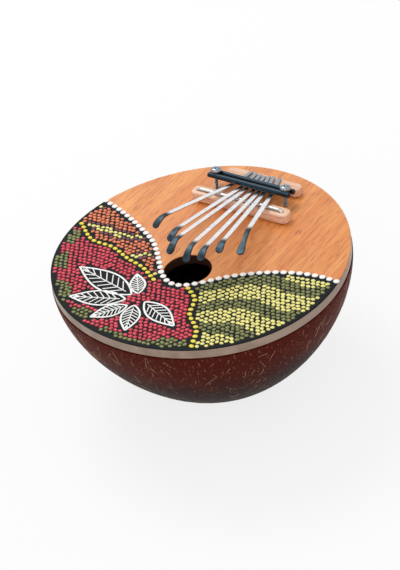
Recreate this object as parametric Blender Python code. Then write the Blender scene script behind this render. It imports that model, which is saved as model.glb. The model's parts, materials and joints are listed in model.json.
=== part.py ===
"""Kalimba on a half coconut shell.

A sawn half shell carries a glued wooden soundboard with one sound hole. Seven
spring-steel tines lie over a bridge wire on the front block, are pressed down
by two steel rods, and end on the rear block. Two screws pull the rods down
into a cleat glued under the board.

Metres, +Z up. The origin is the middle of the sanded flat under the shell,
+X runs along the clamp rods and +Y points away from the player. Heights
called "above the board" start at the soundboard's upper face.
"""
import bpy
import math
import numpy as np

# Seats: two pieces that touch keep this gap between their faces
GAP = 0.0003

# Soundboard: a circle with three soft corners and a slight oval
BOARD_RADIUS = 0.0709
CORNER_SWELL = 0.00104
CORNER_ANGLE = math.radians(89.3)
OVAL_SWELL = 0.00066
OVAL_ANGLE = math.radians(125.4)
BOARD_THICKNESS = 0.005
BOARD_EDGE_ROUND = 0.0006
SOUND_HOLE_RADIUS = 0.01125
SOUND_HOLE_X = 0.001
SOUND_HOLE_Y = -0.0135

# Shell: a superellipse of revolution over the board's outline
SHELL_HEIGHT = 0.065
SHELL_FULL_DEPTH = 0.069
SHELL_POWER = 1.675
SHELL_OVERHANG = 0.0003
SHELL_WALL = 0.0035

# Wooden blocks glued on the board
BRIDGE_BLOCK_SIZE = (0.0545, 0.0070, 0.0047)
BRIDGE_BLOCK_AT = (-0.00195, 0.0369)
TAIL_BLOCK_SIZE = (0.0421, 0.0068, 0.0039)
TAIL_BLOCK_AT = (-0.00225, 0.0576)
BLOCK_END_ROUND = 0.003
TAIL_BLOCK_CHAMFER = 0.002
BLOCK_EDGE_ROUND = 0.0004

# Bridge wire, a staple whose legs are driven into the front block
WIRE_RADIUS = 0.0008
WIRE_Y = 0.0366
WIRE_LEFT_X = -0.0261
WIRE_RIGHT_X = 0.0216
WIRE_BEND = 0.002
WIRE_LEG = 0.0020

# Clamp: two straight rods and two pan-head screws
TINE_SLOPE = 0.2
CLAMP_Y = 0.0485
ROD_RADIUS = 0.0013
ROD_PITCH = 0.0044
ROD_LENGTH = 0.0461
ROD_CENTRE_X = -0.00345
ROD_END_ROUND = 0.0002
SCREW_X = (-0.0235, 0.0161)
SCREW_HEAD_RADIUS = 0.0028
SCREW_HEAD_HEIGHT = 0.0020
SCREW_SHANK_RADIUS = 0.0007
SCREW_LENGTH = 0.020
SCREW_POINT = 0.002
CLEAT_SIZE = (0.052, 0.015, 0.009)

# Tines: flattened steel strips with hammered paddles
TINE_THICKNESS = 0.0009
TAIL_WIDTH = 0.0019
TONGUE_WIDTH = 0.0024
PADDLE_WIDTH = 0.0037
PADDLE_LENGTH = 0.0085
PADDLE_THICKNESS = 0.0007
TINE_BEND = 0.009
TAIL_BEND = 0.004
TAIL_SET_BACK = 0.0008
HINGE_GAP = 0.0003
DIP_LENGTH = 0.0022
DIP_BEHIND_ROD = 0.0006

# One row per tine, left to right: place on the wire (m), plan angle towards +X going forward
# (degrees), straight length in front of the wire (m), tip's fall (degrees), paddle past the bend
# (m), and how far the tail's end stays from the rear block's back edge (m)
TINES = (
    (-0.0142, -10.3, 0.0343, 39.4, 0.0015, 0.0014),
    (-0.0071, 0.1, 0.0427, 34.7, 0.0015, 0.0018),
    (-0.0036, 2.4, 0.0501, 33.8, 0.0034, 0.0022),
    (0.0009, 7.8, 0.0523, 44.4, 0.0022, 0.0024),
    (0.0047, 11.1, 0.0528, 33.4, 0.0015, 0.0020),
    (0.0080, 13.5, 0.0443, 24.7, 0.0019, 0.0016),
    (0.0128, 17.4, 0.0283, 10.3, 0.0132, 0.0012),
)

# How finely round pieces are cut
OUTLINE_STEPS = 96
SHELL_RINGS = 12
HOLE_STEPS = 40
ROUND_STEPS = 16
WIRE_STEPS = 12

# Heights and places worked out from the sizes above
BOARD_BOTTOM = SHELL_HEIGHT + GAP
BOARD_TOP = BOARD_BOTTOM + BOARD_THICKNESS
BRIDGE_TOP = BOARD_TOP + GAP + BRIDGE_BLOCK_SIZE[2]
TAIL_TOP = BOARD_TOP + GAP + TAIL_BLOCK_SIZE[2]
WIRE_Z = BRIDGE_TOP + WIRE_RADIUS - 0.00005
PIVOT_Z = WIRE_Z + WIRE_RADIUS + GAP + TINE_THICKNESS / 2
TAIL_Z = TAIL_TOP + GAP + TINE_THICKNESS / 2
LEAN = math.atan(TINE_SLOPE)
NORMAL = np.array([0.0, math.sin(LEAN), math.cos(LEAN)])
DOWNHILL = np.array([0.0, math.cos(LEAN), -math.sin(LEAN)])
CLAMP_POINT = np.array([0.0, CLAMP_Y, PIVOT_Z - TINE_SLOPE * (CLAMP_Y - WIRE_Y)])
ROD_RISE = TINE_THICKNESS / 2 + GAP + ROD_RADIUS


def material(name, colour, roughness, metallic=0.0):
    """A plain Principled material in linear colour."""
    made = bpy.data.materials.new(name)
    made.use_nodes = True
    shader = made.node_tree.nodes["Principled BSDF"]
    shader.inputs["Base Color"].default_value = (*colour, 1.0)
    shader.inputs["Roughness"].default_value = roughness
    shader.inputs["Metallic"].default_value = metallic
    return made


def add_object(name, mesh, finish=None):
    """Put a mesh in the scene under the piece's name."""
    piece = bpy.data.objects.new(name, mesh)
    bpy.context.scene.collection.objects.link(piece)
    if finish:
        mesh.materials.append(finish)
    mesh.shade_smooth()
    mesh.set_sharp_from_angle(angle=math.radians(35))
    return piece


def ring_mesh(name, rings):
    """Join equal rings of points side by side and close the first and last with a flat face.

    The rings run anticlockwise seen from +Z and start at the lower outside.
    """
    count = len(rings[0])
    points = np.concatenate(rings)
    faces = [tuple(reversed(range(count)))]
    for level in range(len(rings) - 1):
        low = level * count
        high = low + count
        for step in range(count):
            after = (step + 1) % count
            faces.append((low + step, low + after, high + after, high + step))
    faces.append(tuple(range(len(points) - count, len(points))))
    mesh = bpy.data.meshes.new(name)
    mesh.from_pydata(points.tolist(), [], faces)
    mesh.validate()
    return mesh


def outline(offset=0.0, factor=1.0):
    """Board outline: a circle plus a three-cornered and a two-cornered wave, moved out by offset."""
    angle = np.linspace(0, 2 * math.pi, OUTLINE_STEPS, endpoint=False)
    corners = CORNER_SWELL * np.cos(3 * (angle - CORNER_ANGLE))
    oval = OVAL_SWELL * np.cos(2 * (angle - OVAL_ANGLE))
    radius = (BOARD_RADIUS + corners + oval + offset) * factor
    return np.stack([radius * np.cos(angle), radius * np.sin(angle)], axis=1)


def at_height(points, height):
    """Lift flat points to one height."""
    return np.column_stack([points, np.full(len(points), height)])


def shell_rings(offset, full_depth, floor_height):
    """Rings of a superellipse bowl from its flat floor up to the rim."""
    floor_depth = SHELL_HEIGHT - floor_height
    last = math.asin((floor_depth / full_depth) ** (SHELL_POWER / 2))
    rings = []
    for turn in np.linspace(last, 0, SHELL_RINGS):
        depth = full_depth * math.sin(turn) ** (2 / SHELL_POWER)
        factor = math.cos(turn) ** (2 / SHELL_POWER)
        rings.append(at_height(outline(offset, factor), SHELL_HEIGHT - depth))
    return rings


def make_shell(finish):
    """Half shell: outer wall up to the rim, then the inner wall down to the floor."""
    outer = shell_rings(SHELL_OVERHANG, SHELL_FULL_DEPTH, 0.0)
    inner = shell_rings(SHELL_OVERHANG - SHELL_WALL, SHELL_FULL_DEPTH - SHELL_WALL, SHELL_WALL)
    return add_object("shell_bowl", ring_mesh("shell_bowl", outer + inner[::-1]), finish)


def cut(piece, cutter):
    """Take a hidden cutter away from a piece."""
    cutter.hide_render = True
    cutter.display_type = "WIRE"
    knife = piece.modifiers.new("cut_" + cutter.name, "BOOLEAN")
    knife.operation = "DIFFERENCE"
    knife.solver = "EXACT"
    knife.object = cutter


def turned(name, profile, steps, finish=None):
    """Turn a profile of (radius, height) pairs, listed from the bottom up, about Z."""
    angle = np.linspace(0, 2 * math.pi, steps, endpoint=False)
    circle = np.stack([np.cos(angle), np.sin(angle)], axis=1)
    rings = [at_height(circle * radius, height) for radius, height in profile]
    return add_object(name, ring_mesh(name, rings), finish)


def screw_cutters():
    """One long tilted cylinder on each screw's axis, a seat gap wider than the shank."""
    cutters = []
    reach = SCREW_LENGTH + GAP
    for side, along in zip(("left", "right"), SCREW_X):
        radius = SCREW_SHANK_RADIUS + GAP
        cutter = turned("cut_screw_" + side, [(radius, -reach), (radius, 0.0)], ROUND_STEPS)
        place_screw(cutter, along)
        cutters.append(cutter)
    return cutters


def place_screw(piece, along):
    """Stand a piece on the rods' tops, square to the tines."""
    seat = CLAMP_POINT + NORMAL * (ROD_RISE + ROD_RADIUS + GAP)
    piece.location = (along, seat[1], seat[2])
    piece.rotation_euler = (-LEAN, 0.0, 0.0)


def make_board(finish, cutters):
    """Soundboard with an eased rim, the sound hole and the two screw holes."""
    ease = BOARD_EDGE_ROUND
    levels = [
        (-ease, BOARD_BOTTOM),
        (0.0, BOARD_BOTTOM + ease),
        (0.0, BOARD_TOP - ease),
        (-ease * 0.3, BOARD_TOP - ease * 0.3),
        (-ease, BOARD_TOP),
    ]
    rings = [at_height(outline(offset), height) for offset, height in levels]
    board = add_object("soundboard", ring_mesh("soundboard", rings), finish)
    reach = BOARD_THICKNESS
    profile = [(SOUND_HOLE_RADIUS, -reach), (SOUND_HOLE_RADIUS, reach)]
    hole = turned("cut_sound_hole", profile, HOLE_STEPS)
    hole.location = (SOUND_HOLE_X, SOUND_HOLE_Y, (BOARD_BOTTOM + BOARD_TOP) / 2)
    for cutter in [hole] + cutters:
        cut(board, cutter)
    return board


def bar_outline(length, width, left, right, steps):
    """Rectangle outline whose left and right corners are rounded, or cut straight by 1 step."""
    points = []
    for x_sign, y_sign, radius, first in (
        (1, 1, right[0], 0),
        (-1, 1, left[0], 90),
        (-1, -1, left[0], 180),
        (1, -1, right[0], 270),
    ):
        count = right[1] if x_sign > 0 else left[1]
        centre = (x_sign * (length / 2 - radius), y_sign * (width / 2 - radius))
        for angle in np.radians(np.linspace(first, first + 90, count + 1)):
            points.append((centre[0] + radius * math.cos(angle), centre[1] + radius * math.sin(angle)))
    return np.array(points)


def make_block(name, size, place, base, left, right, finish):
    """Wooden bar on a flat base with eased edges; left and right are (corner radius, steps)."""
    ease = BLOCK_EDGE_ROUND
    rings = []
    for inset, height in ((ease, 0), (0, ease), (0, size[2] - ease), (ease, size[2])):
        shrunk_left = (left[0] - inset, left[1])
        shrunk_right = (right[0] - inset, right[1])
        flat = bar_outline(size[0] - 2 * inset, size[1] - 2 * inset, shrunk_left, shrunk_right, 0)
        rings.append(at_height(flat, height))
    block = add_object(name, ring_mesh(name, rings), finish)
    block.location = (place[0], place[1], base)
    return block


def sweep(name, path, side, half_widths, half_heights, steps, finish=None):
    """Carry a rounded section along a path that lies in the plane square to side."""
    path = np.array(path)
    tangent = np.gradient(path, axis=0)
    tangent /= np.linalg.norm(tangent, axis=1)[:, None]
    side = np.array(side, dtype=float)
    up = np.cross(tangent, side)
    angle = np.radians(22.5) + np.linspace(0, 2 * math.pi, steps, endpoint=False)
    rings = []
    for point, lift, wide, high in zip(path, up, half_widths, half_heights):
        section_x = np.clip(np.cos(angle) * SECTION_FULLNESS[steps], -1, 1) * wide
        section_y = np.clip(np.sin(angle) * SECTION_FULLNESS[steps], -1, 1) * high
        rings.append(point + np.outer(section_x, side) + np.outer(section_y, lift))
    return add_object(name, ring_mesh(name, rings), finish)


# Eight sides give a flat strip with broken edges, other counts give a round wire
SECTION_FULLNESS = {8: 1.0824, WIRE_STEPS: 1.0, ROUND_STEPS: 1.0}


def arc_corner(before, corner, after, radius, steps):
    """Points of the arc that rounds a corner between two straight runs."""
    before, corner, after = (np.array(item, dtype=float) for item in (before, corner, after))
    one = (before - corner) / np.linalg.norm(before - corner)
    two = (after - corner) / np.linalg.norm(after - corner)
    half = math.acos(np.clip(one @ two, -1, 1)) / 2
    reach = radius / math.tan(half)
    middle = corner + (one + two) / np.linalg.norm(one + two) * radius / math.sin(half)
    start = corner + one * reach - middle
    end = corner + two * reach - middle
    sweep_angle = math.pi - 2 * half
    points = []
    for share in np.linspace(0, 1, steps + 1):
        mix = (math.sin((1 - share) * sweep_angle) * start + math.sin(share * sweep_angle) * end)
        points.append(middle + mix / math.sin(sweep_angle))
    return points


def make_wire(finish, block):
    """Bridge wire, and the bed and leg holes that it presses into the block."""
    depth = WIRE_BEND + WIRE_LEG

    def route(extra):
        left = np.array([WIRE_LEFT_X, WIRE_Y, WIRE_Z])
        right = np.array([WIRE_RIGHT_X, WIRE_Y, WIRE_Z])
        drop = np.array([0, 0, -depth - extra])
        path = [left + drop]
        path += arc_corner(left + drop, left, right, WIRE_BEND, 5)
        path += arc_corner(left, right, right + drop, WIRE_BEND, 5)
        path += [right + drop]
        return path

    path = route(0.0)
    radii = [WIRE_RADIUS] * len(path)
    wide = [WIRE_RADIUS + GAP] * len(path)
    cutter = sweep("cut_wire", route(GAP), (0, -1, 0), wide, wide, WIRE_STEPS)
    cut(block, cutter)
    return sweep("bridge_wire", path, (0, -1, 0), radii, radii, WIRE_STEPS, finish)


def make_rod(name, shift, finish):
    """Straight clamp rod with lightly broken ends, lying on the tines."""
    centre = CLAMP_POINT + NORMAL * ROD_RISE + DOWNHILL * shift
    ends = ROD_CENTRE_X - ROD_LENGTH / 2, ROD_CENTRE_X + ROD_LENGTH / 2
    stops = (ends[0], ends[0] + ROD_END_ROUND, ends[1] - ROD_END_ROUND, ends[1])
    path = [(stop, centre[1], centre[2]) for stop in stops]
    thin = ROD_RADIUS - ROD_END_ROUND
    radii = (thin, ROD_RADIUS, ROD_RADIUS, thin)
    return sweep(name, path, (0, -1, 0), radii, radii, ROUND_STEPS, finish)


def make_screw(name, along, finish):
    """Pan-head screw: pointed shank, flat seat and a domed head."""
    tall = SCREW_HEAD_HEIGHT
    head = SCREW_HEAD_RADIUS
    profile = [
        (SCREW_SHANK_RADIUS * 0.15, -SCREW_LENGTH),
        (SCREW_SHANK_RADIUS, -SCREW_LENGTH + SCREW_POINT),
        (SCREW_SHANK_RADIUS, 0.0),
        (head * 0.97, 0.0),
        (head, tall * 0.15),
        (head, tall * 0.4),
        (head * 0.86, tall * 0.75),
        (head * 0.55, tall * 0.95),
        (head * 0.2, tall),
    ]
    screw = turned(name, profile, ROUND_STEPS, finish)
    place_screw(screw, along)
    return screw


def make_cleat(finish, cutters):
    """Inner cleat under the board, centred on the screws where they enter it."""
    top = BOARD_BOTTOM - GAP
    middle = top - CLEAT_SIZE[2] / 2
    seat = CLAMP_POINT + NORMAL * (ROD_RISE + ROD_RADIUS + GAP)
    place = (sum(SCREW_X) / 2, seat[1] - (seat[2] - middle) * TINE_SLOPE)
    corner = (BLOCK_EDGE_ROUND * 3, 2)
    base = top - CLEAT_SIZE[2]
    cleat = make_block("screw_cleat", CLEAT_SIZE, place, base, corner, corner, finish)
    for cutter in cutters:
        cut(cleat, cutter)
    return cleat


def smooth_step(value):
    """Ease from 0 to 1."""
    value = np.clip(value, 0, 1)
    return value * value * (3 - 2 * value)


def along_path(points):
    """Distance run along a path at each of its points."""
    steps = np.linalg.norm(np.diff(points, axis=0), axis=1)
    return np.concatenate([[0.0], np.cumsum(steps)])


def resample(points, distances):
    """Points of a path at the given distances from its start."""
    run = along_path(points)
    return np.column_stack([np.interp(distances, run, points[:, axis]) for axis in range(3)])


def make_tail(number, row, finish):
    """Clamped half of a tine: from the rear block, under both rods, up to the bridge wire."""
    place, angle, _, _, _, inset = row
    lean = math.tan(math.radians(angle))
    end_y = TAIL_BLOCK_AT[1] + TAIL_BLOCK_SIZE[1] / 2 - inset
    rod_y = CLAMP_Y + ROD_PITCH / 2 * math.cos(LEAN)
    dip_y = rod_y + DIP_BEHIND_ROD
    dip_z = PIVOT_Z - TINE_SLOPE * (dip_y - WIRE_Y)
    flat_y = dip_y + DIP_LENGTH
    start_y = WIRE_Y + HINGE_GAP / 2
    corners = [(end_y, TAIL_Z), (flat_y, TAIL_Z), (dip_y, dip_z)]
    corners.append((start_y, PIVOT_Z - TINE_SLOPE * (start_y - WIRE_Y)))
    flat = [np.array(corners[0])]
    flat += arc_corner(corners[0], corners[1], corners[2], TAIL_BEND, 3)
    flat += arc_corner(corners[1], corners[2], corners[3], TAIL_BEND, 3)
    flat += [np.array(corners[3])]
    path = np.array([(place - lean * (y - WIRE_Y), y, z) for y, z in flat])
    run = along_path(path)
    half_width = np.interp(run, [0, run[-1]], [TAIL_WIDTH / 2, TONGUE_WIDTH / 2])
    half_height = np.full(len(path), TINE_THICKNESS / 2)
    turn = math.radians(angle)
    side = (math.cos(turn), math.sin(turn), 0.0)
    name = "tine_tail_%d" % number
    return sweep(name, path, side, half_width, half_height, 8, finish)


def make_tongue(number, row, finish):
    """Sounding half of a tine: straight run, downward bend and rounded hammered paddle.

    Its origin is on the bridge wire, where it hinges as it is plucked.
    """
    place, angle, straight, fall, paddle, _ = row
    turn = math.radians(angle)
    rise = math.atan(TINE_SLOPE * math.cos(turn))
    fall = math.radians(fall)
    start = np.array([0.0, 0.0])
    uphill = np.array([math.cos(rise), math.sin(rise)])
    downward = np.array([math.cos(fall), -math.sin(fall)])
    reach = TINE_BEND * math.tan((rise + fall) / 2)
    corner = start + uphill * (straight + reach)
    end = corner + downward * (reach + paddle)
    flat = [start + uphill * HINGE_GAP / 2]
    flat += arc_corner(start, corner, end, TINE_BEND, 12)
    flat += [end]
    route = np.array([(math.sin(turn) * d, -math.cos(turn) * d, h) for d, h in flat])
    length = along_path(route)[-1]
    tip = PADDLE_WIDTH / 2
    body = np.linspace(0, length - PADDLE_LENGTH - 0.004, 5)
    neck = np.linspace(length - PADDLE_LENGTH - 0.002, length - tip, 9)
    nose = length - tip + tip * np.sin(np.radians([22, 42, 60, 75, 88]))
    run = np.concatenate([body, neck, nose])
    path = resample(route, run)
    widen = smooth_step((run - (length - PADDLE_LENGTH - 0.004)) / 0.006)
    half_width = TONGUE_WIDTH / 2 + widen * (PADDLE_WIDTH - TONGUE_WIDTH) / 2
    nose_share = np.clip((run - (length - tip)) / tip, 0, 1)
    half_width *= np.sqrt(1 - nose_share ** 2)
    half_height = TINE_THICKNESS / 2 + widen * (PADDLE_THICKNESS - TINE_THICKNESS) / 2
    side = (math.cos(turn), math.sin(turn), 0.0)
    name = "tine_tongue_%d" % number
    tongue = sweep(name, path, side, half_width, half_height, 8, finish)
    tongue.location = (place, WIRE_Y, PIVOT_Z)
    return tongue


def clear_scene():
    """Remove whatever the scene holds."""
    for item in list(bpy.data.objects):
        bpy.data.objects.remove(item, do_unlink=True)


def main():
    clear_scene()
    shell = material("coconut_shell", (0.075, 0.018, 0.012), 0.55)
    board_wood = material("board_wood", (0.75, 0.25, 0.07), 0.45)
    block_wood = material("block_wood", (0.80, 0.52, 0.36), 0.6)
    cleat_wood = material("cleat_wood", (0.50, 0.30, 0.16), 0.7)
    steel = material("tine_steel", (0.62, 0.63, 0.65), 0.25, 1.0)
    black_steel = material("black_steel", (0.02, 0.03, 0.035), 0.35, 0.8)
    zinc = material("zinc_plate", (0.55, 0.56, 0.58), 0.3, 1.0)

    make_shell(shell)
    cutters = screw_cutters()
    make_board(board_wood, cutters)
    make_cleat(cleat_wood, cutters)

    block_base = BOARD_TOP + GAP
    round_end = (BLOCK_END_ROUND, 4)
    bridge = make_block(
        "bridge_block", BRIDGE_BLOCK_SIZE, BRIDGE_BLOCK_AT, block_base, round_end, round_end, block_wood
    )
    chamfer_end = (TAIL_BLOCK_CHAMFER, 1)
    make_block(
        "tail_block", TAIL_BLOCK_SIZE, TAIL_BLOCK_AT, block_base, round_end, chamfer_end, block_wood
    )
    make_wire(steel, bridge)
    make_rod("clamp_rod_front", -ROD_PITCH / 2, black_steel)
    make_rod("clamp_rod_rear", ROD_PITCH / 2, black_steel)
    for side, along in zip(("left", "right"), SCREW_X):
        make_screw("clamp_screw_" + side, along, zinc)
    for number, row in enumerate(TINES, start=1):
        make_tail(number, row, steel)
        make_tongue(number, row, steel)


main()
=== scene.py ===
"""Looks of the coconut-shell kalimba: turned shell, painted soundboard, steel tines and their clamp.

Metres, +Z up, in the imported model's frame, whose origin is the middle of the shell's sanded flat.
"""
import bmesh
import bpy
import json
import math
import numpy as np
from mathutils import Matrix, Vector


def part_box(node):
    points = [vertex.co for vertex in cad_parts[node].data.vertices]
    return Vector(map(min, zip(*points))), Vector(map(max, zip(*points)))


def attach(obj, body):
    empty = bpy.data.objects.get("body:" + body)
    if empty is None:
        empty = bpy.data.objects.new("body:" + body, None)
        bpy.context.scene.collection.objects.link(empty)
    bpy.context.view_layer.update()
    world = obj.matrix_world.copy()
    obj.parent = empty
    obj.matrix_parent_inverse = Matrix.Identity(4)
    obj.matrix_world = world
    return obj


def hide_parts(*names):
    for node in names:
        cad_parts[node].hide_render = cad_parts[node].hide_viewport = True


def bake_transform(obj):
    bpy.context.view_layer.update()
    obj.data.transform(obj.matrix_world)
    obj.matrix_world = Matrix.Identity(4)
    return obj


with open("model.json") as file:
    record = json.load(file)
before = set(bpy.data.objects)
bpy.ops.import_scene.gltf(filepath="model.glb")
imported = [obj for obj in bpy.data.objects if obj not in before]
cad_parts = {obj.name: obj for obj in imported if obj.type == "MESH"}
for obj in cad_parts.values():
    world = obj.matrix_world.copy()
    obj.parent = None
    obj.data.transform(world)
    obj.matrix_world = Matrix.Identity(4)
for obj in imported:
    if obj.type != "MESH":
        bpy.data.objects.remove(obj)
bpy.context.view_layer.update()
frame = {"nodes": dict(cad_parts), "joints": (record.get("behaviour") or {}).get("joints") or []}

nodes = frame["nodes"]
MM = 0.001
FULL_TURN = 2 * math.pi

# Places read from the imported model
BOARD_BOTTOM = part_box("soundboard")[0].z
BOARD_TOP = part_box("soundboard")[1].z
SHELL_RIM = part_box("shell_bowl")[1].z
BLOCK_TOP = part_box("tail_block")[1].z
PIVOTS = [np.array(joint["pos_m"]) for joint in frame["joints"]]
AXES = [np.array(joint["axis"]) for joint in frame["joints"]]
WIRE_Y = PIVOTS[0][1]
PIVOT_Z = PIVOTS[0][2]

# Board outline: a circle with a three-cornered and a two-cornered wave on it, and an eased edge
BOARD_RADIUS = 70.9 * MM
CORNER_SWELL = 1.04 * MM
CORNER_ANGLE = math.radians(89.3)
OVAL_SWELL = 0.66 * MM
OVAL_ANGLE = math.radians(125.4)
BOARD_EASE = 0.6 * MM
EASE_DEGREES = (0, 22, 45, 68, 90)
BOARD_POINTS = 300

# Sound hole, and how far from its middle the painted shade on its wall may reach
HOLE_AT = (1.0 * MM, -13.5 * MM)
HOLE_RADIUS = 11.25 * MM
HOLE_EASE = 0.3 * MM
HOLE_SHADE_REACH = 2 * HOLE_RADIUS

# Shell: its superellipse would close at this depth, but the sanded flat cuts it off sooner
SHELL_DEPTH = 69.0 * MM
SHELL_POWER = 1.675
SHELL_OVERHANG = 0.3 * MM
SHELL_WALL = 3.5 * MM
SHELL_POINTS = 240
SHELL_RINGS = 56

# Husk fibres: levels are shares of the shell's height below its rim, the lean is in radians
FIBRE_SEED = 11
FIBRE_COUNT = 520
FIBRE_POINTS = 6
FIBRE_LEVELS = (0.03, 0.93)
FIBRE_LEAN = 0.55
FIBRE_SHORTEST = 0.8 * MM
FIBRE_LENGTH = 1.3 * MM
FIBRE_LENGTH_SHAPE = 2.2
FIBRE_BOW = 0.35
FIBRE_BOW_MIDDLE = 0.08
FIBRE_HALF_WIDTH = (0.07 * MM, 0.14 * MM)
FIBRE_TAPER = 0.8
FIBRE_PROUD = 0.09 * MM
FIBRE_SUNK = 0.05 * MM
FIBRE_RIM_GAP = 0.6 * MM
FIBRE_FLAT_GAP = 1.5 * MM
FIBRE_GIRTH = 0.9 * BOARD_RADIUS

# Tines
TINE_SLOPE = 0.2
TINE_THICK = 0.9 * MM
PADDLE_THICK = 0.7 * MM
TAIL_WIDTH = 1.9 * MM
TONGUE_WIDTH = 2.4 * MM
NECK_WIDTH = 2.2 * MM
PADDLE_WIDTH = 3.7 * MM
PADDLE_LENGTH = 8.5 * MM
TINE_BEND = 9.0 * MM
TINE_BEND_STEPS = 20
TAIL_BEND = 4.0 * MM
TAIL_BEND_STEPS = 6
TAIL_DIP_GAP = 0.6 * MM
TAIL_DIP_RUN = 2.2 * MM
TINE_STEP = 0.55 * MM
TINE_SIDES = 20
TINE_SQUARENESS = 0.62
NOSE_DEGREES = (0, 15, 30, 45, 58, 69, 78, 85, 89)
FORGE_BEFORE_BEND = 3 * MM
FORGE_FADE = 4 * MM

# Straight length, tip's fall in degrees and paddle's straight length of each tine, left to right
TINE_SHAPES = (
    (34.3 * MM, 39.4, 1.5 * MM),
    (42.7 * MM, 34.7, 1.5 * MM),
    (50.1 * MM, 33.8, 3.4 * MM),
    (52.3 * MM, 44.4, 2.2 * MM),
    (52.8 * MM, 33.4, 1.5 * MM),
    (44.3 * MM, 24.7, 1.9 * MM),
    (28.3 * MM, 10.3, 13.2 * MM),
)

# Clamp rods and bridge wire
SEAT_GAP = 0.3 * MM
CLAMP_Y = 48.5 * MM
ROD_RADIUS = 1.3 * MM
ROD_PITCH = 4.4 * MM
ROD_ENDS = (-26.5 * MM, 19.6 * MM)
ROD_CHAMFER = 0.25 * MM
ROD_SIDES = 40
END_FACE_SHARE = 0.4
END_FACE_RISE = 0.001 * MM
WIRE_RADIUS = 0.8 * MM
WIRE_BEND = 2.0 * MM
WIRE_SIDES = 20
WIRE_BEND_STEPS = 10

# Clamp screws: lengths down the shank are measured from the head's seat
SCREW_X = (-23.5 * MM, 16.1 * MM)
SCREW_HEAD = 2.8 * MM
SCREW_HEAD_HIGH = 2.0 * MM
HEAD_RIM_SHARE = 0.32
HEAD_SEAT_SHARE = 0.985
HEAD_TOP_SHARE = 0.01
HEAD_POWER = 2.2
HEAD_RINGS = 26
HEAD_RIM_RINGS = 2
SCREW_CORE = 0.7 * MM
SCREW_CREST = 1.15 * MM
SCREW_LENGTH = 20.0 * MM
SCREW_POINT = 2.5 * MM
POINT_BLUNT = 0.08
THREAD_PITCH = 1.0 * MM
THREAD_FLANK = 0.28
THREAD_START = 3.4 * MM
THREAD_START_FADE = 1.2 * MM
THREAD_END_FADE = 3.0 * MM
WOOD_START = 9.6 * MM
WOOD_FADE = 0.8 * MM
WOOD_CREST_LOSS = 0.45
SHANK_RINGS = 200
SCREW_SIDES = 48
RECESS_TURN = 0.5
RECESS_DEPTH = 1.5 * MM
RECESS_ARM = 1.75 * MM
RECESS_ARM_SLOPE = 0.5 * MM
RECESS_HALF_WIDTH = 0.65 * MM
RECESS_WALL_SLOPE = 0.3 * MM

# Painted field: its edge across the board from left to right, in mm
PAINT_EDGE = (
    (-69.0, 17.2), (-55.7, 12.7), (-41.0, 6.1), (-26.6, -2.0), (-14.6, -14.1), (-8.1, -21.3),
    (-1.0, -25.3), (5.0, -25.0), (12.0, -20.2), (20.7, -11.6), (29.7, -4.8), (39.6, 0.8),
    (50.5, 4.8), (61.3, 6.8), (70.0, 6.6),
)
EDGE_POINTS = 400
PAINT_THICK = 0.12 * MM
PAINT_INSET = 0.08 * MM
PAINT_LIFT = 0.03 * MM
PAINT_MERGE = 0.001 * MM
GROUND_STEP = 0.6 * MM
GROUND_FIELD_ROWS = np.linspace(0, 0.97, 36)
GROUND_RIM_ROWS = np.linspace(0.975, 1, 10)

# Dots: rows that wave across the field, each dot a low dome
FIELD_ROWS = (-72 * MM, 20 * MM)
FIELD_COLUMNS = (-72 * MM, 72 * MM)
DOT_SEED = 7
DOT_SPACING = 2.45 * MM
ROW_SPACING = 0.86 * DOT_SPACING
ROW_WAVE = 1.4 * MM
ROW_WAVE_LENGTH = FULL_TURN * 9 * MM
DOT_JITTER = 0.28 * MM
DOT_RADII = (0.86 * MM, 1.06 * MM)
DOT_TURN = 0.3
DOT_TURN_SPREAD = 0.5
DOT_HEIGHT = 0.42 * MM
DOT_STRETCH = 1.25
DOT_SIDES = 12
DOT_RING_RADII = np.array([1.0, 0.97, 0.80, 0.48, 0.14])
DOT_RING_HEIGHTS = np.array([0.0, 0.35, 0.75, 0.95, 1.0])
RIM_CLEAR = 2.1 * MM
EDGE_CLEAR = 2.9 * MM
DIVIDER_CLEAR = 2.1 * MM
LEAF_CLEAR = 1.2 * MM
GAP_STEP = 0.4 * MM
YELLOW_RADIUS = 1.15 * MM
YELLOW_HEIGHT = 0.5 * MM
YELLOW_PITCH = 3.1 * MM
YELLOW_TURN_SPREAD = 0.3
WHITE_RADIUS = 1.45 * MM
WHITE_HEIGHT = 0.55 * MM
WHITE_STRETCH = 1.1
WHITE_TURN = 0.2
WHITE_PITCH = 3.6 * MM
WHITE_INSET = 0.4 * MM
WHITE_SHRINK = 0.985

# Two yellow rows that part the field in three, as points in mm
DIVIDERS = (
    ((-67.5, -4.0), (-55.0, -12.5), (-42.0, -13.5), (-30.0, -18.0), (-19.0, -21.0), (-9.0, -26.5)),
    ((9.5, -25.5), (17.0, -31.0), (21.0, -41.0), (30.0, -49.0), (34.5, -59.5)),
)
DIVIDER_POINTS = 200
LEFT_FIELD_END = -8 * MM
RIGHT_FIELD_START = 5 * MM

# Colour bands: a sine of the place, bent by a slower sine; a paint starts or ends where it crosses these
BAND_WIDTH = 3.0 * MM
BAND_LEAN = 0.35
BAND_BEND = 1.3
BAND_BEND_WIDTH = 8 * MM
OLIVE_RIM = 8 * MM
OLIVE_RIM_FROM = -0.3
RIGHT_YELLOW_FROM = -0.25
LEFT_SALMON_FROM = -0.35
LEFT_YELLOW_TO = -0.85

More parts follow.
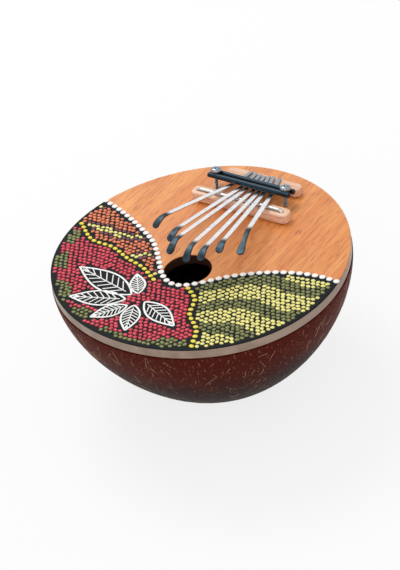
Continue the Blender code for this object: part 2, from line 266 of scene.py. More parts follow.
# Spray of leaves: base in mm, direction in degrees, length and width in mm
LEAVES = (
    ((-12.0, -40.0), 168.0, 36.0, 12.5),
    ((-12.5, -44.0), 199.0, 27.0, 10.5),
    ((-9.0, -47.5), 232.0, 17.5, 8.0),
    ((-6.0, -46.0), 292.0, 18.0, 8.5),
    ((-9.5, -38.0), 128.0, 15.0, 7.0),
    ((-3.0, -42.0), 338.0, 24.0, 9.5),
)
LEAF_POWER = 0.85
LEAF_POINTS = 30
MIDRIB = slice(3, -2)
VEIN_POINTS = 6
VEIN_STARTS = np.arange(0.16, 0.8, 0.105)
VEIN_RUN = 0.13
VEIN_REACH = 0.82
OUTLINE_HALF_WIDTH = 0.46 * MM
VEIN_HALF_WIDTH = 0.26 * MM
LINE_HALF_HEIGHT = 0.2 * MM
LINE_LIFT = 0.08 * MM
LINE_SIDES = 6

# Degrees between two faces above which the edge they share is sharp
SHARP_ANGLE = 40
FIBRE_SHARP_ANGLE = 80
DOT_SHARP_ANGLE = 60
LINE_SHARP_ANGLE = 60
SCREW_SHARP_ANGLE = 50

# Camera: the photograph's direction, roll and distance, and the board point that a pixel shows
CAMERA_AZIMUTH = 39.9
CAMERA_ELEVATION = 36.5
CAMERA_ROLL = 9.8
CAMERA_DISTANCE = 0.9
PIXELS_PER_METRE = 2169.0
AIM_PIXEL = (203.4, 258.3)
AIM_POINT = (3.09 * MM, -3.43 * MM)
PICTURE = (400, 570)

# Studio: strengths of 1 are white
SKY_LIGHT = 0.62
SKY_SEEN = 1.0
FLOOR_HALF_SIZE = 3.0
FLOOR_DROP = 0.05 * MM
FLOOR_GLOW_SHARE = 0.8
FLOOR_COLOUR = (0.9, 0.9, 0.9, 1)
FLOOR_BOUNCE = (0.35, 0.35, 0.35, 1)
WHITE = (1, 1, 1, 1)

# Lights: place, size and power of each, and the point that all face
KEY_LIGHT = ((-0.5, 0.25, 0.95), 0.5, 5.0)
FILL_LIGHT = ((0.6, -0.9, 0.8), 0.9, 3.0)
LIGHT_AIM = (0, 0, 0.05)

# Numbers of a colour mix's sockets, whose names repeat
MIX_SHARE, MIX_ONE, MIX_TWO = 0, 6, 7


def linear(code):
    """A hex sRGB colour in linear light with alpha 1: a straight foot, then a 2.4 power."""
    values = [int(code[at:at + 2], 16) / 255 for at in (1, 3, 5)]
    return [v / 12.92 if v <= 0.04045 else ((v + 0.055) / 1.055) ** 2.4 for v in values] + [1.0]


def output_of(source):
    """A link's start: the socket itself, or a node's first socket in use."""
    if isinstance(source, bpy.types.Node):
        return next(socket for socket in source.outputs if socket.enabled)
    return source


def add_node(tree, kind, settings=None, links=None):
    """Add one node: settings are attributes, socket values or a ramp's stops, links feed its sockets."""
    made = tree.nodes.new(kind)
    for name, value in (settings or {}).items():
        if name == "stops":
            band = made.color_ramp.elements
            while len(band) < len(value):
                band.new(0.5)
            for element, (position, code) in zip(band, value):
                element.position = position
                element.color = linear(code)
        elif isinstance(name, int) or name in made.inputs:
            made.inputs[name].default_value = linear(value) if isinstance(value, str) else value
        else:
            setattr(made, name, value)
    for name, source in (links or {}).items():
        tree.links.new(output_of(source), made.inputs[name])
    return made


def new_material(name, **shader_values):
    """A material whose Principled shader has these constant values; returns it, tree and shader."""
    made = bpy.data.materials.new(name)
    made.use_nodes = True
    tree = made.node_tree
    shader = tree.nodes["Principled BSDF"]
    for socket, value in shader_values.items():
        shader.inputs[socket.replace("_", " ")].default_value = value
    return made, tree, shader


def blotches(tree, sizes, detail, roughness=0.5):
    """Noise over Object coordinates divided by three lengths, so that its blotches have those sizes."""
    place = add_node(tree, "ShaderNodeTexCoord").outputs["Object"]
    fitted = add_node(tree, "ShaderNodeMapping", {"Scale": [1 / size for size in sizes]}, {"Vector": place})
    values = {"Scale": 1.0, "Detail": detail, "Roughness": roughness}
    return add_node(tree, "ShaderNodeTexNoise", values, {"Vector": fitted})


def dress(tree, shader, colour, height, depth, strength):
    """Feed the shader its colour, and its normal from a height pattern of a real depth."""
    relief = add_node(tree, "ShaderNodeBump", {"Strength": strength, "Distance": depth}, {"Height": height})
    tree.links.new(output_of(colour), shader.inputs["Base Color"])
    tree.links.new(output_of(relief), shader.inputs["Normal"])


def wood_figure(tree, pale, mid, dark, axis):
    """Straight-grained wood: its colour, its broad bands and its grain, all drawn out along one axis.

    Bands are 9 x 70 mm and grain lines 1.1 x 26 mm. Real pores are 0.1 to 0.3 mm wide; these are
    0.55 x 7 mm, as coarse as they need to be to show.
    """
    patterns = []
    for width, length, detail, roughness in (
        (9 * MM, 70 * MM, 3.0, 0.5),
        (1.1 * MM, 26 * MM, 4.0, 0.6),
        (0.55 * MM, 7 * MM, 2.0, 0.5),
    ):
        sizes = [width] * 3
        sizes[axis] = length
        patterns.append(blotches(tree, sizes, detail, roughness))
    band, grain, pores = patterns
    colour = add_node(tree, "ShaderNodeValToRGB", {"stops": [(0.3, mid), (0.68, pale)]}, {"Fac": band})
    for pattern, stops, share in (
        (grain, [(0.36, dark), (0.56, "#FFFFFF")], 0.30),
        (pores, [(0.33, dark), (0.42, "#FFFFFF")], 0.55),
    ):
        lines = add_node(tree, "ShaderNodeValToRGB", {"stops": stops}, {"Fac": pattern})
        colour = add_node(tree, "ShaderNodeMix",
                          {"data_type": "RGBA", "blend_type": "MULTIPLY", MIX_SHARE: share},
                          {MIX_ONE: colour, MIX_TWO: lines})
    return colour, band, grain


def wood_material(name, pale, mid, dark, axis, gloss):
    """Bare planed or sawn wood; a weak coat layer stands for the soft sheen of its fibres."""
    made, tree, shader = new_material(name, Roughness=gloss, Coat_Weight=0.25, Coat_Roughness=0.3)
    colour, _, grain = wood_figure(tree, pale, mid, dark, axis)
    dress(tree, shader, colour, grain, 0.06 * MM, 0.3)
    return made


def board_material():
    """Reddish tropical wood, varnished on its face: golden orange with darker streaks along Y.

    Upright faces are raw greyish end grain, and those within reach of the sound hole are painted dark brown
    as shade inside the hole.
    """
    made, tree, shader = new_material("varnished_tropical_wood", Roughness=0.42, Coat_Weight=0.25,
                                      Coat_Roughness=0.3)
    colour, band, grain = wood_figure(tree, "#F0A156", "#DC8238", "#A04E1A", axis=1)
    faces = add_node(tree, "ShaderNodeTexCoord").outputs
    upward = add_node(tree, "ShaderNodeSeparateXYZ", None, {"Vector": faces["Normal"]}).outputs["Z"]
    level = add_node(tree, "ShaderNodeMath", {"operation": "ABSOLUTE"}, {0: upward})
    is_edge = add_node(tree, "ShaderNodeMath", {"operation": "LESS_THAN", 1: 0.5}, {0: level})
    raw = add_node(tree, "ShaderNodeValToRGB", {"stops": [(0.35, "#98806E"), (0.65, "#B59C8A")]},
                   {"Fac": band})
    # Painted shade: upright faces near the sound hole turn dark brown, as the hole's wall lies in shade
    from_hole = add_node(tree, "ShaderNodeVectorMath", {"operation": "DISTANCE", 1: (*HOLE_AT, BOARD_TOP)},
                         {0: faces["Object"]})
    is_hole = add_node(tree, "ShaderNodeMath", {"operation": "LESS_THAN", 1: HOLE_SHADE_REACH}, {0: from_hole})
    edge = add_node(tree, "ShaderNodeMix", {"data_type": "RGBA", MIX_TWO: "#3A2015"},
                    {MIX_SHARE: is_hole, MIX_ONE: raw})
    colour = add_node(tree, "ShaderNodeMix", {"data_type": "RGBA"},
                      {MIX_SHARE: is_edge, MIX_ONE: colour, MIX_TWO: edge})
    dress(tree, shader, colour, grain, 0.06 * MM, 0.3)
    return made


def shell_material():
    """Coconut shell, sanded and oiled: red-brown with pale specks, and near black at the bottom, which is
    painted shade under the bowl.

    The clouds are 14 mm across. The specks are fibre ends, which are 0.3 mm wide; they are drawn
    0.7 x 2.2 mm, so that they show.
    """
    made, tree, shader = new_material("oiled_coconut_shell", Roughness=0.55, Specular_IOR_Level=0.05)
    place = add_node(tree, "ShaderNodeTexCoord").outputs["Object"]
    # Painted shade: colour runs by height, from red-brown at the rim to near black low on the bowl, over
    # the shell's own clouds
    height = add_node(tree, "ShaderNodeSeparateXYZ", None, {"Vector": place}).outputs["Z"]
    share = add_node(tree, "ShaderNodeMath", {"operation": "DIVIDE", 1: SHELL_RIM}, {0: height})
    cloud = blotches(tree, [14 * MM] * 3, detail=4.0)
    clouded = add_node(tree, "ShaderNodeMath", {"operation": "MULTIPLY_ADD", 1: 0.35}, {0: cloud, 2: share})
    cloud_and_painted_shade = add_node(tree, "ShaderNodeValToRGB",
                    {"stops": [(0.3, "#0C0909"), (0.72, "#280E0A"), (1.0, "#5A2017")]}, {"Fac": clouded})
    specks = blotches(tree, [0.7 * MM, 0.7 * MM, 2.2 * MM], detail=1.0)
    dust = add_node(tree, "ShaderNodeValToRGB", {"stops": [(0.64, "#000000"), (0.72, "#C49A78")]},
                    {"Fac": specks})
    colour = add_node(tree, "ShaderNodeMix", {"data_type": "RGBA", "blend_type": "ADD", MIX_SHARE: 0.4},
                      {MIX_ONE: cloud_and_painted_shade, MIX_TWO: dust})
    dress(tree, shader, colour, cloud, 0.5 * MM, 0.4)
    return made


def mottled_material(name, code, grain=0.5 * MM, **shader_values):
    """One colour, a little darker in blotches of one grain size that are also its fine relief."""
    made, tree, shader = new_material(name, **shader_values)
    mottle = blotches(tree, [grain] * 3, detail=3.0)
    shade = add_node(tree, "ShaderNodeValToRGB", {"stops": [(0.3, "#B4B4B4"), (0.7, "#FFFFFF")]},
                     {"Fac": mottle})
    colour = add_node(tree, "ShaderNodeMix",
                      {"data_type": "RGBA", "blend_type": "MULTIPLY", MIX_SHARE: 0.12, MIX_ONE: code},
                      {MIX_TWO: shade})
    dress(tree, shader, colour, mottle, 0.03 * MM, 0.25)
    return made


def tine_material():
    """Spring steel, ground bright and worked cold with a hammer at the tip: mirror-like, with a dark
    blue-grey paddle that is painted reflection of the dark surroundings.

    Behind the clamp the strip is a duller, darker grey. Hammer marks are 2.4 mm across, and the attribute
    "hammered" is 1 on the forged end, which is rougher there and painted dark as reflection.
    """
    made, tree, shader = new_material("polished_spring_steel", Metallic=1.0)
    mask = add_node(tree, "ShaderNodeAttribute", {"attribute_name": "hammered"}).outputs["Fac"]
    marks = blotches(tree, [2.4 * MM] * 3, detail=3.0)
    bright = add_node(tree, "ShaderNodeValToRGB", {"stops": [(0.3, "#DCDEE1"), (0.7, "#F1F2F3")]},
                      {"Fac": marks})
    # Painted reflection: the forged paddle is coloured dark blue-grey, as the dark surroundings it faces
    # would show in it
    blue = add_node(tree, "ShaderNodeValToRGB", {"stops": [(0.35, "#263037"), (0.65, "#3D4A52")]},
                    {"Fac": marks})
    place = add_node(tree, "ShaderNodeTexCoord").outputs["Object"]
    along = add_node(tree, "ShaderNodeSeparateXYZ", None, {"Vector": place}).outputs["Y"]
    behind = add_node(tree, "ShaderNodeMath", {"operation": "GREATER_THAN", 1: CLAMP_Y + ROD_PITCH / 2},
                      {0: along})
    bare = add_node(tree, "ShaderNodeMix", {"data_type": "RGBA", MIX_TWO: "#9AA1A8"},
                    {MIX_SHARE: behind, MIX_ONE: bright})
    colour = add_node(tree, "ShaderNodeMix", {"data_type": "RGBA"},
                      {MIX_SHARE: mask, MIX_ONE: bare, MIX_TWO: blue})
    rough = add_node(tree, "ShaderNodeMath", {"operation": "MULTIPLY_ADD", 1: 0.22, 2: 0.2}, {0: mask})
    tree.links.new(output_of(rough), shader.inputs["Roughness"])
    dress(tree, shader, colour, marks, 0.03 * MM, 0.12)
    return made


def make_materials():
    """Every finish by its use; a comment says what each one is and shows."""
    finishes = {
        "board": board_material(),
        "shell": shell_material(),
        "tine": tine_material(),
        # Pale hardwood, planed and sanded but bare: pinkish, matt, with faint grain along X
        "block": wood_material("sanded_pale_wood", "#F6CFB2", "#E4B493", "#B9805C", axis=0, gloss=0.6),
        # Softwood straight from the saw: dull brown and dry
        "cleat": wood_material("rough_sawn_wood", "#C79A6C", "#B08055", "#7C5433", axis=0, gloss=0.8),
        # Cold-drawn steel wire: bright, with a tight streak of light along it
        "wire": mottled_material("drawn_steel_wire", "#C4C7CA", Roughness=0.22, Metallic=1.0),
        # Steel rod, blacked and oiled: blue-black satin
        "rod": mottled_material("satin_black_steel", "#22313B", grain=0.8 * MM, Roughness=0.33,
                                Metallic=0.85),
        # Zinc plate, barrel-plated and bright: hard small glints on a cool grey
        "screw": mottled_material("bright_zinc_plate", "#8F979E", grain=0.4 * MM, Roughness=0.2,
                                  Metallic=1.0),
        # Acrylic ground coat, brushed on thin: near black and nearly matt
        "ground": mottled_material("black_ground_paint", "#0B1114", grain=1.5 * MM, Roughness=0.6,
                                   Specular_IOR_Level=0.12),
        # Dry coir strands: pale tan and matt
        "fibre": mottled_material("husk_fibre", "#D6B48E", Roughness=0.7),
    }
    # Acrylic paint dabbed on thick: full colour with a soft light on each dab
    for name, code in (
        ("white", "#FFFFFC"),
        ("red", "#D63A50"),
        ("olive", "#7E8148"),
        ("pale_yellow", "#F0E88C"),
        ("yellow", "#F4DE48"),
        ("salmon", "#E67E55"),
        ("maroon", "#6E3444"),
    ):
        finishes[name] = mottled_material(name + "_paint", code, Roughness=0.42, Coat_Weight=0.15,
                                          Specular_IOR_Level=0.3)
    return finishes


def finish_mesh(name, points, faces, material, body="root", sharp=SHARP_ANGLE):
    """Make a mesh object at the origin from whole arrays, shade it and let it ride on a body."""
    mesh = bpy.data.meshes.new(name)
    mesh.from_pydata(points.tolist(), [], faces)
    mesh.validate()
    mesh.materials.append(material)
    mesh.shade_smooth()
    mesh.set_sharp_from_angle(angle=math.radians(sharp))
    piece = bpy.data.objects.new(name, mesh)
    bpy.context.scene.collection.objects.link(piece)
    if body:
        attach(piece, body)
    return piece


def close_and_turn_out(piece, reach=0.0):
    """Merge points that lie within reach of each other, if any, and turn all faces outwards."""
    work = bmesh.new()
    work.from_mesh(piece.data)
    if reach:
        bmesh.ops.remove_doubles(work, verts=work.verts, dist=reach)
    bmesh.ops.recalc_face_normals(work, faces=work.faces)
    work.to_mesh(piece.data)
    work.free()


def grid_faces(rows, columns, wrap_rows=False):
    """Quads of a grid whose columns wrap round, and whose rows wrap too if asked."""
    last = rows if wrap_rows else rows - 1
    row, column = np.meshgrid(np.arange(last), np.arange(columns), indexing="ij")
    after = (column + 1) % columns
    above = (row + 1) % rows
    quads = [row * columns + column, row * columns + after, above * columns + after,
             above * columns + column]
    return np.stack([quad.ravel() for quad in quads], axis=1).tolist()


def tube_faces(rows, columns):
    """Quads of an open tube plus a flat face at each end."""
    faces = grid_faces(rows, columns)
    faces.append(list(range(columns))[::-1])
    faces.append(list(range((rows - 1) * columns, rows * columns)))
    return faces


def smooth_step(value):
    """Ease from 0 to 1: three squares less two cubes, held at both ends."""
    value = np.clip(value, 0, 1)
    return value * value * (3 - 2 * value)


def at_height(flat, height):
    """Flat points lifted to one height."""
    return np.column_stack([flat, np.full(len(flat), height)])


def lengths(points):
    """Distance of flat points from the board's middle."""
    return np.hypot(points[..., 0], points[..., 1])


def resample(points, spacing):
    """The same path with points an even distance apart; also the distance run at each."""
    run = np.concatenate([[0.0], np.cumsum(np.linalg.norm(np.diff(points, axis=0), axis=1))])
    even = np.linspace(0, run[-1], max(3, int(run[-1] / spacing)))
    return np.column_stack([np.interp(even, run, column) for column in points.T]), even


def arc_corner(before, corner, after, radius, steps):
    """Arc that touches both straight runs at a corner: its two end spokes, blended by sines of turn."""
    before, corner, after = (np.array(item, dtype=float) for item in (before, corner, after))
    one = (before - corner) / np.linalg.norm(before - corner)
    two = (after - corner) / np.linalg.norm(after - corner)
    half = math.acos(np.clip(one @ two, -1, 1)) / 2
    reach = radius / math.tan(half)
    middle = corner + (one + two) / np.linalg.norm(one + two) * radius / math.sin(half)
    start = corner + one * reach - middle
    end = corner + two * reach - middle
    turn = math.pi - 2 * half
    share = np.linspace(0, 1, steps + 1)[:, None]
    return list(middle + (np.sin((1 - share) * turn) * start + np.sin(share * turn) * end) / math.sin(turn))


def curve_through(points, count):
    """Catmull-Rom curve through points in mm: each piece is a cubic with its neighbours' slopes."""
    points = np.array(points, dtype=float) * MM
    padded = np.concatenate([[2 * points[0] - points[1]], points, [2 * points[-1] - points[-2]]])
    last_piece = len(points) - 2
    place = np.linspace(0, last_piece + 1, count)
    index = np.minimum(place.astype(int), last_piece)
    t = (place - index)[:, None]
    p0, p1, p2, p3 = (padded[index + step] for step in range(4))
    return 0.5 * (2 * p1 + (p2 - p0) * t + (2 * p0 - 5 * p1 + 4 * p2 - p3) * t ** 2
                  + (3 * p1 - p0 - 3 * p2 + p3) * t ** 3)


def sweep(name, path, side, wide, high, squareness, steps, material, body="root"):
    """Carry a section along a path: x = wide*cos^q, y = high*sin^q, where q is 1 less squareness."""
    tangent = np.gradient(path, axis=0)
    tangent /= np.linalg.norm(tangent, axis=1)[:, None]
    side = np.array(side, dtype=float)
    up = np.cross(tangent, side)
    angle = np.linspace(0, FULL_TURN, steps, endpoint=False)
    power = 1 - squareness
    section_x = np.sign(np.cos(angle)) * np.abs(np.cos(angle)) ** power
    section_y = np.sign(np.sin(angle)) * np.abs(np.sin(angle)) ** power
    points = (path[:, None, :] + (wide[:, None] * section_x)[:, :, None] * side
              + (high[:, None] * section_y)[:, :, None] * up[:, None, :])
    return finish_mesh(name, points.reshape(-1, 3), tube_faces(len(path), steps), material, body)


def outline(angle, offset=0.0, factor=1.0):
    """Board outline: a circle plus a three-cornered and a two-cornered wave, moved out by offset."""
    corners = CORNER_SWELL * np.cos(3 * (angle - CORNER_ANGLE))
    oval = OVAL_SWELL * np.cos(2 * (angle - OVAL_ANGLE))
    radius = (BOARD_RADIUS + corners + oval + offset) * factor
    return np.stack([radius * np.cos(angle), radius * np.sin(angle)], axis=-1)


def outline_reach(points, offset=0.0):
    """How far the outline, moved out by offset, lies from the middle in the direction of each point."""
    return lengths(outline(np.arctan2(points[..., 1], points[..., 0]), offset))


def make_shell(material):
    """Bowl: radius goes as a cosine and drop as a sine, each to the power 2 over the shell's own.

    Rings climb the outer wall from the sanded flat to the rim, then go down the inner wall to its floor.
    """
    angle = np.linspace(0, FULL_TURN, SHELL_POINTS, endpoint=False)
    rings = []
    for offset, depth, floor in (
        (SHELL_OVERHANG, SHELL_DEPTH, 0.0),
        (SHELL_OVERHANG - SHELL_WALL, SHELL_DEPTH - SHELL_WALL, SHELL_WALL),
    ):
        last = math.asin(((SHELL_RIM - floor) / depth) ** (SHELL_POWER / 2))
        wall = []
        for turn in np.linspace(last, 0, SHELL_RINGS):
            drop = depth * math.sin(turn) ** (2 / SHELL_POWER)
            flat = outline(angle, offset, math.cos(turn) ** (2 / SHELL_POWER))
            wall.append(at_height(flat, SHELL_RIM - drop))
        rings += wall if floor == 0.0 else wall[::-1]
    points = np.concatenate(rings)
    shell = finish_mesh("shell_skin", points, tube_faces(len(rings), len(angle)), material)
    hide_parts("shell_bowl")


def shell_point(turn, drop, lift):
    """Point of the shell's outside at an angle round and a drop below the rim, lifted off it."""
    factor = (1 - (drop / SHELL_DEPTH) ** SHELL_POWER) ** (1 / SHELL_POWER)
    flat = outline(turn, SHELL_OVERHANG + lift, factor)
    return np.concatenate([flat, (SHELL_RIM - drop)[..., None]], axis=-1)


def make_fibres(material):
    """Husk fibres left on the shell: short bowed strands laid on its surface.

    Each strand runs in its own direction and bows as the square of the distance from its middle.
    Its section is a low triangle that narrows towards both ends.
    """
    rng = np.random.default_rng(FIBRE_SEED)
    around = rng.uniform(0, FULL_TURN, FIBRE_COUNT)
    level = rng.uniform(*FIBRE_LEVELS, FIBRE_COUNT)
    heading = rng.normal(math.pi / 2, FIBRE_LEAN, FIBRE_COUNT)[:, None]
    length = rng.gamma(FIBRE_LENGTH_SHAPE, FIBRE_LENGTH, FIBRE_COUNT)[:, None] + FIBRE_SHORTEST
    bow = rng.uniform(-FIBRE_BOW, FIBRE_BOW, FIBRE_COUNT)[:, None]
    half_width = rng.uniform(*FIBRE_HALF_WIDTH, FIBRE_COUNT)[:, None, None]
    share = np.linspace(-0.5, 0.5, FIBRE_POINTS)[None]
    run = share * length
    bent = bow * length * (share ** 2 - FIBRE_BOW_MIDDLE)
    step_around = run * np.cos(heading) - bent * np.sin(heading)
    step_down = run * np.sin(heading) + bent * np.cos(heading)
    drop = np.clip(level[:, None] * SHELL_RIM + step_down, FIBRE_RIM_GAP, SHELL_RIM - FIBRE_FLAT_GAP)
    turn = around[:, None] + step_around / FIBRE_GIRTH
    middle = shell_point(turn, drop, 0.0)
    tangent = np.gradient(middle, axis=1)
    tangent /= np.linalg.norm(tangent, axis=2)[..., None]
    outward = shell_point(turn, drop, 1 * MM) - middle
    outward /= np.linalg.norm(outward, axis=2)[..., None]
    wide = half_width * (1 - (2 * share[..., None]) ** 4 * FIBRE_TAPER)
    side = np.cross(tangent, outward) * wide
    corners = [middle - side - outward * FIBRE_SUNK, middle + side - outward * FIBRE_SUNK,
               middle + outward * FIBRE_PROUD]
    points = np.stack(corners, axis=2).reshape(-1, 3)
    per_strand = FIBRE_POINTS * len(corners)
    one = tube_faces(FIBRE_POINTS, len(corners))
    faces = [[index + strand * per_strand for index in face]
             for strand in range(FIBRE_COUNT) for face in one]
    close_and_turn_out(finish_mesh("husk_fibres", points, faces, material, sharp=FIBRE_SHARP_ANGLE))


def hole_ring(angle, radius):
    """A circle round the sound hole's middle."""
    return np.stack([HOLE_AT[0] + np.cos(angle) * radius, HOLE_AT[1] + np.sin(angle) * radius], axis=1)


def make_board(material):
    """Board as one closed ring: hole's lower edge, out to the rim, round its eased top, in to the hole."""
    angle = np.linspace(0, FULL_TURN, BOARD_POINTS, endpoint=False)
    hole = hole_ring(angle, HOLE_RADIUS)
    rings = [(hole, BOARD_BOTTOM), (outline(angle, -BOARD_EASE), BOARD_BOTTOM),
             (outline(angle), BOARD_BOTTOM + BOARD_EASE)]
    for turn in np.radians(EASE_DEGREES):
        inset = BOARD_EASE * (math.cos(turn) - 1)
        rise = BOARD_EASE * (math.sin(turn) - 1)
        rings.append((outline(angle, inset), BOARD_TOP + rise))
    rings += [(hole_ring(angle, HOLE_RADIUS + HOLE_EASE), BOARD_TOP), (hole, BOARD_TOP - HOLE_EASE)]
    points = np.concatenate([at_height(flat, height) for flat, height in rings])
    board = finish_mesh("painted_board", points, grid_faces(len(rings), len(angle), True), material)
    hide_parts("soundboard")


def edge_curve():
    """Painted field's edge across the board."""
    return curve_through(PAINT_EDGE, EDGE_POINTS)


def make_paint_ground(material):
    """Black ground coat: a thin sheet ruled from the field's edge to the board's front rim.

    Near the rim it sinks with the board's eased edge, along the same quarter circle. It narrows to
    nothing at both ends of the field's edge, where its points merge.
    """
    edge, _ = resample(edge_curve(), GROUND_STEP)
    start = math.atan2(edge[0][1], edge[0][0]) % FULL_TURN
    end = math.atan2(edge[-1][1], edge[-1][0]) + FULL_TURN
    rim = outline(np.linspace(start, end, len(edge)), -PAINT_INSET)
    edge = edge * np.minimum(1.0, outline_reach(edge, -PAINT_INSET) / lengths(edge))[:, None]
    share = np.concatenate([GROUND_FIELD_ROWS, GROUND_RIM_ROWS])[:, None, None]
    flat = (1 - share) * edge[None] + share * rim[None]
    to_rim = np.clip(outline_reach(flat) - lengths(flat), 0, BOARD_EASE)
    sunk = BOARD_EASE - np.sqrt(BOARD_EASE ** 2 - (BOARD_EASE - to_rim) ** 2)
    low = (BOARD_TOP + PAINT_LIFT - sunk)[..., None]
    top = np.concatenate([flat, low + PAINT_THICK], axis=2)
    under = np.concatenate([flat, low], axis=2)
    rows, columns = flat.shape[:2]
    layer = rows * columns
    index = np.arange(layer).reshape(rows, columns)
    corners = [index[:-1, :-1], index[1:, :-1], index[1:, 1:], index[:-1, 1:]]
    quads = np.stack([corner.ravel() for corner in corners], axis=1)
    below = quads[:, ::-1] + layer
    border = np.concatenate([index[0, :-1], index[:-1, -1], index[-1, :0:-1], index[:0:-1, 0]])
    after = np.roll(border, -1)
    walls = np.stack([border, after, after + layer, border + layer], axis=1)
    points = np.concatenate([top.reshape(-1, 3), under.reshape(-1, 3)])
    faces = np.concatenate([quads, below, walls]).tolist()
    ground = finish_mesh("paint_ground", points, faces, material)
    close_and_turn_out(ground, reach=PAINT_MERGE)


def make_dots(name, centres, radii, turns, material, high=DOT_HEIGHT, stretch=DOT_STRETCH):
    """Raised paint dots: one grid of rings for all, each a low dome on an ellipse turned by its angle."""
    angle = np.linspace(0, FULL_TURN, DOT_SIDES, endpoint=False)
    unit_x = (DOT_RING_RADII[:, None] * np.cos(angle)).ravel()
    unit_y = (DOT_RING_RADII[:, None] * np.sin(angle)).ravel()
    unit_z = np.repeat(DOT_RING_HEIGHTS, DOT_SIDES)
    x = unit_x[None] * (radii * math.sqrt(stretch))[:, None]
    y = unit_y[None] * (radii / math.sqrt(stretch))[:, None]
    cosine = np.cos(turns)[:, None]
    sine = np.sin(turns)[:, None]
    points = np.stack([centres[:, :1] + x * cosine - y * sine, centres[:, 1:2] + x * sine + y * cosine,
                       BOARD_TOP + PAINT_THICK + unit_z[None] * high + np.zeros_like(x)], axis=2)
    per_dot = len(unit_z)
    shifts = np.arange(len(centres)) * per_dot
    quads = np.array(grid_faces(len(DOT_RING_RADII), DOT_SIDES))
    faces = (quads[None] + shifts[:, None, None]).reshape(-1, 4).tolist()
    back = np.arange(DOT_SIDES)[::-1]
    cap = np.arange(per_dot - DOT_SIDES, per_dot)
    faces += (back[None] + shifts[:, None]).tolist() + (cap[None] + shifts[:, None]).tolist()
    finish_mesh(name, points.reshape(-1, 3), faces, material, sharp=DOT_SHARP_ANGLE)


def leaf_bow(share, width):
    """Half width of a leaf at a share of its length: a sine that swells a little before the middle."""
    return width / 2 * np.sin(math.pi * share ** LEAF_POWER)


def leaf_axes(direction):
    """Unit vectors along a leaf and across it."""
    turn = math.radians(direction)
    return np.array([math.cos(turn), math.sin(turn)]), np.array([-math.sin(turn), math.cos(turn)])


def leaf_lines(base, direction, length, width):
    """Line work of one leaf: two bowed sides, a midrib and slanting veins, as flat paths in mm."""
    ahead, across = leaf_axes(direction)
    share = np.linspace(0, 1, LEAF_POINTS)
    bow = np.outer(leaf_bow(share, width), across)
    middle = np.array(base) + np.outer(share * length, ahead)
    lines = [middle + bow, middle - bow, middle[MIDRIB]]
    run = np.linspace(0, 1, VEIN_POINTS)
    for start in VEIN_STARTS:
        reach = leaf_bow(start + VEIN_RUN, width) * VEIN_REACH
        vein = np.array(base) + np.outer((start + run * VEIN_RUN) * length, ahead)
        lines += [vein + np.outer(sign * run * reach, across) for sign in (1, -1)]
    return lines


def near_leaf(points, margin):
    """True where a point is inside a leaf's outline widened by a margin, in metres."""
    hit = np.zeros(len(points), dtype=bool)
    for base, direction, length, width in LEAVES:
        ahead, across = leaf_axes(direction)
        offset = points - np.array(base) * MM
        run = offset @ ahead
        bow = leaf_bow(np.clip(run / (length * MM), 0, 1), width * MM)
        hit |= (np.abs(offset @ across) < bow + margin) & (run > -margin) & (run < length * MM + margin)
    return hit


def make_line_work(material):
    """White brush lines: a low round bead along each leaf's lines, finer on midrib and veins."""
    points = []
    faces = []
    angle = np.linspace(0, FULL_TURN, LINE_SIDES, endpoint=False)[None, :, None]
    upward = np.array([0, 0, LINE_HALF_HEIGHT])
    for leaf in LEAVES:
        for number, line in enumerate(leaf_lines(*leaf)):
            path = at_height(line * MM, BOARD_TOP + PAINT_THICK + LINE_LIFT)
            tangent = np.gradient(path, axis=0)
            tangent /= np.linalg.norm(tangent, axis=1)[:, None]
            left = np.stack([-tangent[:, 1], tangent[:, 0], np.zeros(len(path))], axis=1)
            half_width = OUTLINE_HALF_WIDTH if number < 2 else VEIN_HALF_WIDTH
            ring = path[:, None] + np.cos(angle) * half_width * left[:, None] + np.sin(angle) * upward
            shift = sum(len(part) for part in points)
            faces += [[index + shift for index in face] for face in tube_faces(len(path), LINE_SIDES)]
            points.append(ring.reshape(-1, 3))
    finish_mesh("leaf_line_work", np.concatenate(points), faces, material, sharp=LINE_SHARP_ANGLE)


def dot_places(rng, dividers):
    """Dot centres: staggered rows that rise and fall as a sine, shaken a little, clear of all edges."""
    rows = np.arange(*FIELD_ROWS, ROW_SPACING)
    columns = np.arange(*FIELD_COLUMNS, DOT_SPACING)
    x, y = np.meshgrid(columns, rows)
    x = x + (np.arange(len(rows)) % 2)[:, None] * DOT_SPACING / 2
    y = y + ROW_WAVE * np.sin(FULL_TURN * x / ROW_WAVE_LENGTH)
    spots = np.column_stack([x.ravel(), y.ravel()])
    spots += rng.uniform(-DOT_JITTER, DOT_JITTER, spots.shape)
    keep = lengths(spots) < outline_reach(spots, -RIM_CLEAR)
    keep &= spots[:, 1] < np.interp(spots[:, 0], *edge_curve().T) - EDGE_CLEAR
    for line in dividers:
        fine, _ = resample(line, GAP_STEP)
        keep &= np.linalg.norm(spots[:, None] - fine[None], axis=2).min(axis=1) > DIVIDER_CLEAR
    keep &= ~near_leaf(spots, LEAF_CLEAR)
    return spots[keep]


def dot_colours(spots, dividers):
    """Name of each dot's paint: red with an olive rim, and bands that follow a bent wave at each side."""
    x, y = spots.T
    left, right = dividers
    in_left = (y > np.interp(x, *left.T)) & (x < LEFT_FIELD_END)
    in_right = (x > np.interp(y, *right[::-1, ::-1].T)) & (x > RIGHT_FIELD_START)
    wave = np.sin((y - BAND_LEAN * x) / BAND_WIDTH + BAND_BEND * np.sin(x / BAND_BEND_WIDTH))
    at_rim = outline_reach(spots) - lengths(spots) < OLIVE_RIM
    return np.select(
        [in_right & (wave > RIGHT_YELLOW_FROM), in_right,
         in_left & (wave > LEFT_SALMON_FROM), in_left & (wave < LEFT_YELLOW_TO), in_left,
         at_rim & (wave > OLIVE_RIM_FROM)],
        ["pale_yellow", "olive", "salmon", "pale_yellow", "maroon", "olive"], "red")


